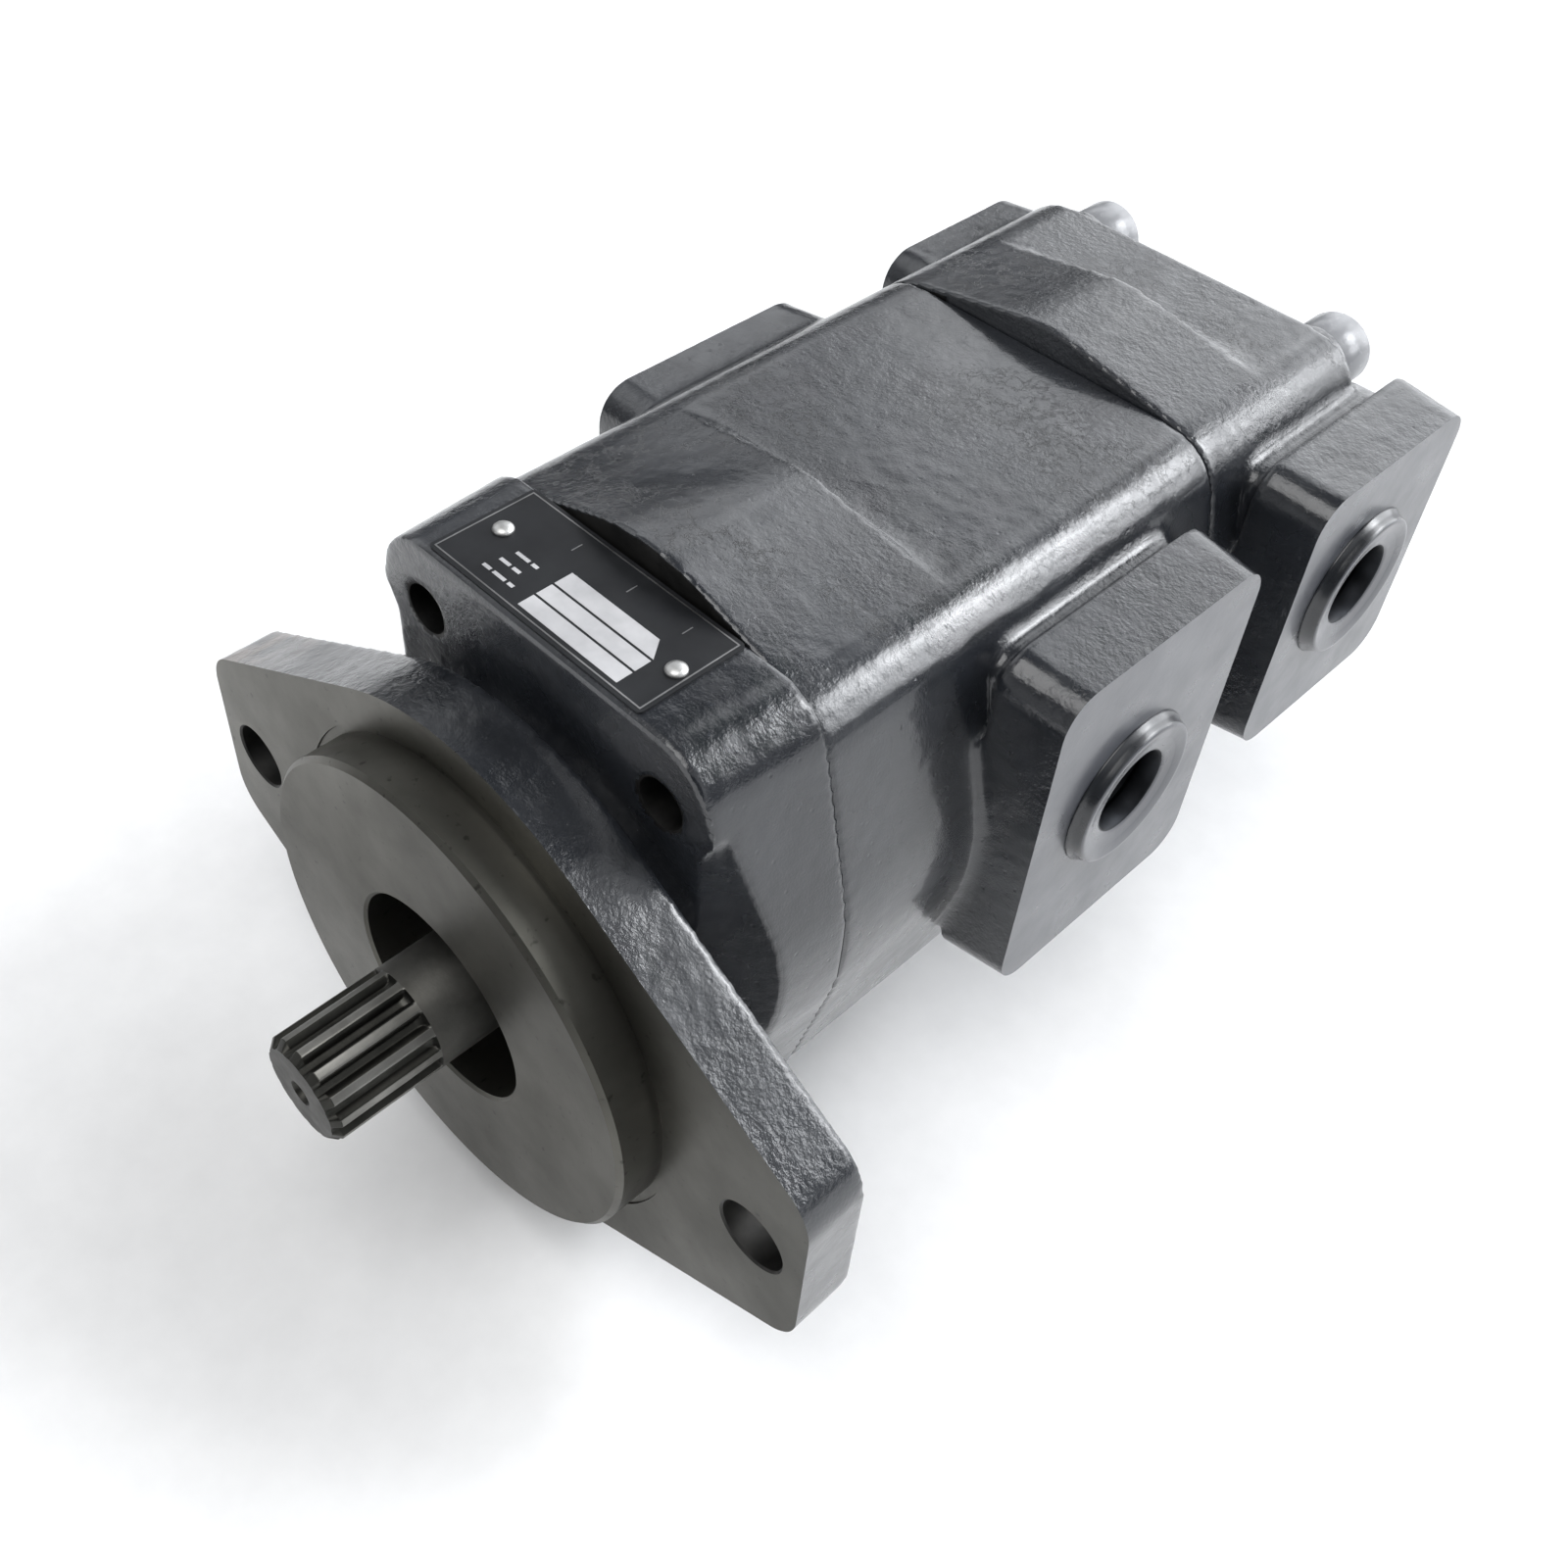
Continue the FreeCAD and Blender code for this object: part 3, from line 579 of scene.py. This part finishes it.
def cover_mesh():
    """Front cover: a softened casting, then the flange face, pilot, recess and holes machined."""
    fills = [rod(53.5, 0.0, 14.0), rod(30.0, 8.0, seam_1)]
    fills += rods(ear_places, ear_r + 1, 0.0, 13.0) + bolt_rods(6.0, 18.0, seam_1)
    fills += rods(dowel_places, 5.0, 30.0, seam_1)
    mesh = combine(cad_mesh("front_cover"), fills, "UNION")
    mesh = combine(mesh, [beyond(1, -1, 0.0)], "DIFFERENCE")
    mesh = stretched(mesh, 1, 0.0, -1, FLANGE_STOCK)
    mesh = stretched(mesh, 1, seam_1, 1, SEAM_STOCK)
    mesh = thinned(cast_skin(softened(mesh), near_plate))
    mesh = combine(mesh, [beyond(1, -1, 0.0), beyond(1, 1, seam_1)], "DIFFERENCE")
    pilot = turned([
        (6.0, 0), (6.0, 49.0), (0.5, 49.0), (0.5, pilot_r), (pilot_y + 1.0, pilot_r),
        (pilot_y, pilot_r - 1.0), (pilot_y, 0)], steps=256)
    mesh = combine(mesh, [pilot], "UNION")
    relief = turned([(-1.0, pilot_r), (-1.0, 52.8), (0.4, 52.6), (0.4, pilot_r)], steps=256)
    recess = turned([
        (pilot_y - 1, 0), (pilot_y - 1, 23.3), (pilot_y, 22.9), (pilot_y + 0.6, 22.3), (4.0, 22.3),
        (4.0, 20.0), (6.0, 20.0), (6.0, 21.2), (7.6, 21.2), (7.6, 20.0), (20.0, 20.0),
        (20.0, 13.2), (seam_1 + 1, 13.2), (seam_1 + 1, 0)], steps=192)
    cuts = [relief, recess]
    for place in ear_places:
        cuts.append(turned([
            (-1.0, 0), (-1.0, ear_r + 1.4), (0.4, ear_r), (26.0, ear_r), (26.0, 0)], "y", place, 96))
    cuts += bolt_rods(5.0, 13.5, seam_1 + 1) + dowel_rods(seam_1)
    return combine(mesh, cuts, "DIFFERENCE")


def housing_mesh(node, front, back, pocket_end, outlet, inlet, extra):
    """Gear housing: a softened casting, then the port faces, gear pocket and holes machined."""
    low, high = (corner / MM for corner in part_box(node))
    ports = ((1, high.x, outlet), (-1, low.x, inlet))
    fills = rods(gear_places, POCKET_R + 4.5, front, pocket_end + 1) + bolt_rods(6.5, front, back)
    fills += [rod(18.0, front, back)] + rods(dowel_places, 5.0, front, back)
    fills += [rod(13.0, min(0.0, face), max(0.0, face), "x", place) for side, face, place in ports]
    mesh = combine(cad_mesh(node), fills, "UNION")
    for side, face, place in ports:
        mesh = stretched(mesh, 0, face, side, PORT_STOCK)
    mesh = stretched(mesh, 1, front, -1, SEAM_STOCK)
    if back == seam_2:
        mesh = stretched(mesh, 1, back, 1, SEAM_STOCK)
    mesh = thinned(cast_skin(softened(mesh)))
    cuts = [beyond(0, 1, high.x), beyond(0, -1, low.x), beyond(1, -1, front)]
    if back == seam_2:
        cuts.append(beyond(1, 1, back))
    cuts += rods(gear_places, POCKET_R, front - 1, pocket_end, 160)
    for side, face, (y, z) in ports:
        cuts.append(turned([
            (side * 16.0, 0), (side * 16.0, PORT_R), (face - side * 14.0, PORT_R), (face - side * 14.0, 12.0),
            (face + side * 1.0, 12.0), (face + side * 1.0, 0)], "x", (y, z), 96))
    cuts += bolt_rods(5.5, front - 1, head_seat + 1) + dowel_rods(front) + extra
    return combine(mesh, cuts, "DIFFERENCE")


def dress(ob, rules):
    """Give each face the first material whose rule accepts its centre and normal (mm)."""
    mesh = ob.data
    mesh.materials.clear()
    for material, rule in rules:
        mesh.materials.append(material)
    for face in mesh.polygons:
        centre = face.center / MM
        for index, (material, rule) in enumerate(rules):
            if rule(centre, face.normal):
                face.material_index = index
                break


def inside(co):
    """True in the gear pockets, on either gear axis."""
    return min(math.hypot(co.x, co.z), math.hypot(co.x, co.z - driven_z)) < POCKET_R + 0.2


def in_bolt_hole(co):
    return min(math.hypot(co.x - x, co.z - z) for x, z in bolt_places) < 5.6


cover = piece("front_cover_casting", finished(cover_mesh()))
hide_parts("front_cover")
dress(cover, [
    (iron, lambda c, n: c.y < 0.8 and (n.y < -0.9 or math.hypot(c.x, c.z) < 53.0)),
    # Painted shade: recess, pocket and hole walls take the near-black bore colour.
    (bore, lambda c, n: math.hypot(c.x, c.z) < 22.6 or inside(c) and c.y > seam_1 - 0.1),
    (bore, lambda c, n: math.hypot(abs(c.x) - ear_x, c.z) < ear_r + 1.2 or in_bolt_hole(c)),
    (paint, lambda c, n: True)])

outlet_1, outlet_2, inlet_1, inlet_2 = (
    tuple(v / MM for v in mounts[name]["pos_m"][1:])
    for name in ("front_outlet_port", "rear_outlet_port", "front_inlet_port", "rear_inlet_port"))
pocket_1_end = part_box("front_section_rear_balance_seal")[1].y / MM
pocket_2_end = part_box("rear_section_rear_balance_seal")[1].y / MM
web = turned([
    (pocket_1_end - 1, 0), (pocket_1_end - 1, COUPLING_BORE_R), (COUPLING_END_Y, COUPLING_BORE_R),
    (COUPLING_END_Y, 12.9), (seam_2 + 1, 12.9), (seam_2 + 1, 0)], steps=96)

housings = (
    ("front_housing", seam_1, seam_2, pocket_1_end, outlet_1, inlet_1, [web] + dowel_rods(seam_2)),
    ("rear_housing", seam_2, REAR_FACE_Y, pocket_2_end, outlet_2, inlet_2, []))
for node, front, back, end, outlet, inlet, extra in housings:
    low, high = (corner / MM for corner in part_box(node))
    casting = piece(node + "_casting", finished(housing_mesh(node, front, back, end, outlet, inlet, extra)))
    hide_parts(node)
    dress(casting, [
        (paint_flat, lambda c, n: c.x > high.x - 0.05 or c.x < low.x + 0.05),
        # Painted shade: gear pockets and bolt holes take the near-black bore colour.
        (bore, lambda c, n: inside(c) and c.y < end + 0.5 or in_bolt_hole(c)),
        (paint, lambda c, n: True)])


# ---------------------------------------------------------------- turned and fitted parts

def fitting_mesh(face, side, place):
    """Port insert: a raised rim with a soft painted edge, a dished face and a threaded bore."""
    rim = [(0.0, 12.0), (0.0, 16.95), (0.25, 17.0), (0.5, 16.85), (0.9, 16.5), (1.6, 16.2), (2.3, 15.95),
           (2.75, 15.72), (2.95, 15.4), (3.0, 15.0), (2.93, 14.6), (2.6, 12.9), (2.5, 12.6), (2.42, 12.3),
           (2.1, 10.2), (2.0, 9.7), (1.8, 9.3), (1.5, PORT_R + 0.15)]
    thread = []
    for turn in range(5):
        along = -2.0 - turn * 1.6
        thread += [(along, PORT_R + 0.02), (along - 0.25, PORT_R + 0.02), (along - 0.75, PORT_R + 0.45),
                   (along - 0.95, PORT_R + 0.45)]
    outer = [(-11.8, PORT_R + 0.3), (-11.8, 11.95), (-0.2, 11.95)]
    return turned([(face + side * a, r) for a, r in outer + rim + thread], "x", place, 128)


fittings = (
    ("front_outlet_fitting", 1, outlet_1), ("rear_outlet_fitting", 1, outlet_2),
    ("front_inlet_fitting", -1, inlet_1), ("rear_inlet_fitting", -1, inlet_2))
for node, side, place in fittings:
    low, high = (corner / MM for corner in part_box(node))
    face = high.x - 3.0 if side > 0 else low.x + 3.0
    insert = piece(node + "_turned", finished(fitting_mesh(face, side, place), 50))
    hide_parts(node)
    dress(insert, [
        # Painted shade: the threaded bore is coloured near-black.
        (port_bore_shaded, lambda c, n: math.hypot(c.y - place[0], c.z - place[1]) < 9.35),
        # Painted shade: the outer rim wall takes the dark paint.
        (paint_rim_shade, lambda c, n: math.hypot(c.y - place[0], c.z - place[1]) > 15.3 and abs(n.x) < 0.75),
        (paint_flat, lambda c, n: True)])


def head_mesh(x, z):
    """Socket-head bolt: a head with rolled edges, a hexagon socket and a plain shank."""
    top, seat, tip = bolts_high.y, head_seat, bolts_low.y
    head = turned([
        (tip, 0), (tip, 3.6), (tip + 1.2, SHANK_R), (seat, SHANK_R), (seat, 7.8), (seat + 0.25, HEAD_R),
        (top - 1.3, HEAD_R), (top - 0.75, 7.86), (top - 0.3, 7.5), (top - 0.05, 6.95), (top, 6.4),
        (top, 0)], "y", (x, z), 96)
    socket = turned([(top - 5.5, 0), (top - 5.0, 4.62), (top + 1, 4.62), (top + 1, 0)], "y", (x, z), 6)
    return combine(head, [socket], "DIFFERENCE")


heads = bmesh.new()
for x, z in bolt_places:
    part = head_mesh(x, z)
    heads.from_mesh(part)
    bpy.data.meshes.remove(part)
bolts = piece("tie_bolts_painted", finished(from_bmesh(heads), 40))
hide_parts("tie_bolts")
# Painted light: the bolt heads take the lightened paint.
dress(bolts, [(spring, lambda c, n: c.y < head_seat - 0.5), (paint_lightened_heads, lambda c, n: True)])


shaft_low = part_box("drive_gear_shaft")[0] / MM
NOSE_R = 10.9
ROOT_R = 9.2
SPLINE_TEETH = 13
SPLINE_END_Y = -16.5
RUN_OUT = 2.2
JOIN_Y = 12.0
JOURNAL_R = 12.5
PRESSURE_ANGLE = math.radians(30)


def spline_section():
    """Radius and angle round the splined nose: involute teeth with broken tips and round roots."""
    tooth = 2 * math.pi / SPLINE_TEETH
    pitch_r = 25.4 / 32 * SPLINE_TEETH
    base_r = pitch_r * math.cos(PRESSURE_ANGLE)
    half = math.pi / 2 / SPLINE_TEETH + math.tan(PRESSURE_ANGLE) - PRESSURE_ANGLE

    def flank(radius):
        working = math.acos(min(1.0, base_r / radius))
        return half - math.tan(working) + working

    land = flank(NOSE_R)
    tip = [(NOSE_R, 0.0), (NOSE_R, land / 2), (NOSE_R, land - 0.012), (NOSE_R - 0.05, land - 0.003)]
    side = [(r, flank(r)) for r in (NOSE_R - 0.14, 10.4, 10.0, 9.7, 9.5, 9.36)]
    foot = flank(9.3)
    root = [(ROOT_R + 0.06, foot + 0.012), (ROOT_R + 0.01, foot + 0.03),
            (ROOT_R, (foot + 0.03 + tooth / 2) / 2), (ROOT_R, tooth / 2)]
    right = tip + side + root
    left = [(r, tooth - angle) for r, angle in reversed(right[1:-1])]
    return [(r, angle + k * tooth) for k in range(SPLINE_TEETH) for r, angle in right + left]


def shaft_mesh():
    """The drive shaft, with its splined nose cut anew: chamfered end, run-out and centre hole."""
    rear = combine(cad_mesh("drive_gear_shaft"), [block((-30, -60, -30), (30, JOIN_Y, 30))], "DIFFERENCE")
    nose_y = shaft_low.y
    sections = [(nose_y, NOSE_R - 1.5, 0.0), (nose_y + 1.45, NOSE_R - 0.06, 0.0), (nose_y + 1.6, NOSE_R, 0.0)]
    for k in range(7):
        lift = (NOSE_R - ROOT_R) * (1 - math.sqrt(1 - (k / 6) ** 2))
        sections.append((SPLINE_END_Y - RUN_OUT * (1 - k / 6), NOSE_R, ROOT_R + lift))
    sections += [(y, r, r) for y, r in (
        (SPLINE_END_Y + 0.2, NOSE_R), (SPLINE_END_Y + 0.4, NOSE_R), (-5.0, NOSE_R), (3.0, NOSE_R),
        (4.6, JOURNAL_R), (JOIN_Y, JOURNAL_R))]
    bm = bmesh.new()
    rings = []
    for y, most, least in sections:
        ring = []
        for radius, angle in spline_section():
            r = least if most == least else max(min(radius, most), least)
            ring.append(bm.verts.new(Vector((r * math.sin(angle), y, r * math.cos(angle))) * MM))
        rings.append(ring)
    for first, second in zip(rings, rings[1:]):
        for k in range(len(first)):
            after = (k + 1) % len(first)
            bm.faces.new((first[k], first[after], second[after], second[k]))
    bm.faces.new(rings[0])
    bm.faces.new(rings[-1])
    bmesh.ops.recalc_face_normals(bm, faces=bm.faces)
    nose = from_bmesh(bm)
    centre = turned([
        (nose_y - 1, 0), (nose_y - 1, 3.1), (nose_y, 2.7), (nose_y + 1.9, 1.6), (nose_y + 9, 1.6),
        (nose_y + 9, 0)], steps=48)
    nose = combine(nose, [centre], "DIFFERENCE")
    return combine(rear, [nose], "UNION")


shaft = piece("drive_shaft_splined", finished(shaft_mesh(), 22), "drive_line")
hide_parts("drive_gear_shaft")
dress(shaft, [
    (nose_land, lambda c, n: c.y < SPLINE_END_Y and math.hypot(c.x, c.z) > NOSE_R - 0.06 and abs(n.y) < 0.3),
    # Painted shade: everything on the nose except the lands gets the near-black steel.
    (spline_shade_steel, lambda c, n: c.y < SPLINE_END_Y),
    # Painted shade: the journal up to the join takes the darker steel.
    (journal_shade_steel, lambda c, n: c.y < JOIN_Y),
    (steel, lambda c, n: True)])

CAD_FINISHES = (
    (("_bearing_block",), aluminium), (("_bushes",), bronze),
    (("_balance_seal", "_body_seal", "_port_seals", "coupling_seal", "lip_seal"), rubber),
    (("_dowels", "retaining_ring"), spring), (("driven_gear", "drive_gear", "coupling_sleeve"), steel))
for name, ob in frame["nodes"].items():
    for endings, material in CAD_FINISHES:
        if name.endswith(endings):
            ob.data.materials.clear()
            ob.data.materials.append(material)


# ---------------------------------------------------------------- nameplate and rivets

def sheet(outline, bottom, top):
    """Flat closed solid with a given outline (mm), between two heights (mm)."""
    bm = bmesh.new()
    low = [bm.verts.new(Vector((x, y, bottom)) * MM) for x, y in outline]
    face = bm.faces.new(low)
    grown = bmesh.ops.extrude_face_region(bm, geom=[face])
    verts = [g for g in grown["geom"] if isinstance(g, bmesh.types.BMVert)]
    bmesh.ops.translate(bm, verts=verts, vec=(0, 0, (top - bottom) * MM))
    bmesh.ops.recalc_face_normals(bm, faces=bm.faces)
    return from_bmesh(bm)


def rounded(x0, y0, x1, y1, radius, steps=6):
    """Outline of a rectangle with rounded corners."""
    points = []
    for cx, cy, start in ((x1 - radius, y1 - radius, 0), (x0 + radius, y1 - radius, 90),
                          (x0 + radius, y0 + radius, 180), (x1 - radius, y0 + radius, 270)):
        for k in range(steps + 1):
            angle = math.radians(start + 90 * k / steps)
            points.append((cx + radius * math.cos(angle), cy + radius * math.sin(angle)))
    return points


def bar(x0, y0, x1, y1):
    return [(x0, y0), (x1, y0), (x1, y1), (x0, y1)]


rivet_low, rivet_high = (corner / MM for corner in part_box("nameplate_rivets"))
RIVET_R = 2.0
rivet_places = (
    (rivet_low.x + RIVET_R, rivet_high.y - RIVET_R), (rivet_high.x - RIVET_R, rivet_low.y + RIVET_R))
plate_top = plate_high.z
x0, y0, x1, y1 = plate_low.x, plate_low.y, plate_high.x, plate_high.y
base = sheet(rounded(x0, y0, x1, y1, 1.0), plate_low.z, plate_top - 0.04)
base = combine(base, [rod(1.05, plate_low.z - 1, plate_top + 1, "z", place, 32) for place in rivet_places],
               "DIFFERENCE")
prints = [(base, 0)]
print_low, print_high = plate_top - 0.05, plate_top
line = 0.28
edge = 0.75
for outline in (bar(x0 + edge, y0 + edge, x1 - edge, y0 + edge + line),
                bar(x0 + edge, y1 - edge - line, x1 - edge, y1 - edge),
                bar(x0 + edge, y0 + edge + line, x0 + edge + line, y1 - edge - line),
                bar(x1 - edge - line, y0 + edge + line, x1 - edge, y1 - edge - line)):
    prints.append((sheet(outline, print_low, print_high), 2))
FIELDS = (
    bar(-7.4, 19.9, 17.0, 23.3), bar(-7.4, 23.8, 17.0, 27.2),
    [(-7.4, 27.7), (17.0, 27.7), (14.2, 31.6), (-7.4, 31.6)])
for outline in FIELDS:
    prints.append((sheet(outline, print_low, print_high), 1))
for row, (start, widths) in enumerate(((-19.0, (2.0, 3.1, 1.4)), (-18.2, (2.6, 1.9)), (-17.6, (3.4, 1.5)))):
    x = start
    for width in widths:
        y = 21.6 + 3.0 * row
        prints.append((sheet(bar(x, y, x + width, y + 0.75), print_low, print_high), 1))
        x += width + 0.7
for x in (-12.0, 2.0, 15.5):
    prints.append((sheet(bar(x, 35.2, x + 0.22, 37.6), print_low, print_high), 2))
plate = bmesh.new()
for part, index in prints:
    start = len(plate.faces)
    plate.from_mesh(part)
    plate.faces.ensure_lookup_table()
    for k in range(start, len(plate.faces)):
        plate.faces[k].material_index = index
    bpy.data.meshes.remove(part)
plate_piece = piece("nameplate_printed", finished(from_bmesh(plate), 30))
for material in (plate_black, plate_white, plate_silver):
    plate_piece.data.materials.append(material)
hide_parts("nameplate")

rivets = bmesh.new()
for place in rivet_places:
    top = rivet_high.z
    part = turned([
        (top - 5.0, 0), (top - 5.0, 0.8), (top - 4.7, 1.0), (plate_top, 1.0), (plate_top, 1.94),
        (plate_top + 0.14, 2.0), (plate_top + 0.4, 1.92), (top - 0.38, 1.6), (top - 0.14, 1.1),
        (top - 0.03, 0.6), (top, 0)], "z", place, 40)
    rivets.from_mesh(part)
    bpy.data.meshes.remove(part)
rivet_piece = piece("nameplate_rivets_domed", finished(from_bmesh(rivets), 50))
rivet_piece.data.materials.append(rivet_metal)
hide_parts("nameplate_rivets")


# ---------------------------------------------------------------- floor and light

floor_mesh = block((-4000, -4000, -2), (4000, 4000, 0))
floor = bpy.data.objects.new("floor", floor_mesh)
scene.collection.objects.link(floor)
floor.location.z = cad_box[0].z - 0.0005
floor.data.materials.append(dull("pale_floor", (0.86, 0.86, 0.86), (0.90, 0.90, 0.90), 0.7, 0.01))

world = bpy.data.worlds.new("studio")
world.use_nodes = True
scene.world = world
scene.view_settings.view_transform = "Standard"


def studio_sky(base, patches):
    """Dim surround with soft bright patches: (azimuth and elevation in degrees, width, strength)."""
    tree = world.node_tree
    tree.nodes.clear()
    where = tree.nodes.new("ShaderNodeTexCoord").outputs["Generated"]
    total = None
    for azimuth, height, width, strength in patches:
        along, up = math.radians(azimuth), math.radians(height)
        dot = tree.nodes.new("ShaderNodeVectorMath")
        dot.operation = "DOT_PRODUCT"
        tree.links.new(where, dot.inputs[0])
        dot.inputs[1].default_value = (
            math.cos(up) * math.cos(along), math.cos(up) * math.sin(along), math.sin(up))
        fade = tree.nodes.new("ShaderNodeMapRange")
        fade.interpolation_type = "SMOOTHSTEP"
        fade.inputs["From Min"].default_value = math.cos(math.radians(width * 1.5))
        fade.inputs["From Max"].default_value = math.cos(math.radians(width * 0.5))
        fade.inputs["To Min"].default_value = base if total is None else 0.0
        fade.inputs["To Max"].default_value = strength + (base if total is None else 0.0)
        tree.links.new(dot.outputs["Value"], fade.inputs["Value"])
        light = fade.outputs["Result"]
        if total is not None:
            add = tree.nodes.new("ShaderNodeMath")
            tree.links.new(total, add.inputs[0])
            tree.links.new(light, add.inputs[1])
            light = add.outputs[0]
        total = light
    back = tree.nodes.new("ShaderNodeBackground")
    back.inputs["Color"].default_value = (0.95, 0.97, 1.0, 1.0)
    tree.links.new(total, back.inputs["Strength"])
    output = tree.nodes.new("ShaderNodeOutputWorld")
    tree.links.new(back.outputs[0], output.inputs["Surface"])


WINDOW = [(72, 10, 14, 4.6), (80, 32, 9, 3.4), (40, 50, 9, 1.2), (106, 50, 9, 2.4), (62, 32, 9, 4.0),
          (98, 32, 9, 2.6), (116, 32, 9, 2.0), (108, 10, 14, 2.6), (134, 32, 9, 1.2), (141, 24, 9, 0.7)]
WALLS = [(0, 35, 18, 0.7), (180, 35, 18, 1.4), (0, 10, 18, 0.4), (252, 10, 18, 0.6), (225, 35, 20, 0.4)]
CORNER_GLINTS = [(42, 20, 9, 8.0), (52, 36, 8, 12.0), (62, 43, 7, 11.0)]
studio_sky(0.04, WINDOW + WALLS + CORNER_GLINTS)


def lamp(name, place, target, size, power):
    """Soft rectangular light aimed at a point."""
    data = bpy.data.lights.new(name, "AREA")
    data.shape = "RECTANGLE"
    data.size, data.size_y = size
    data.energy = power
    ob = bpy.data.objects.new(name, data)
    scene.collection.objects.link(ob)
    aim(ob, place, target - place, (0, 0, 1))


middle = Vector((0.0, 0.09, 0.02))
lamp("overhead_front", middle + Vector((0.15, -0.75, 1.9)), middle, (1.6, 1.6), 29)
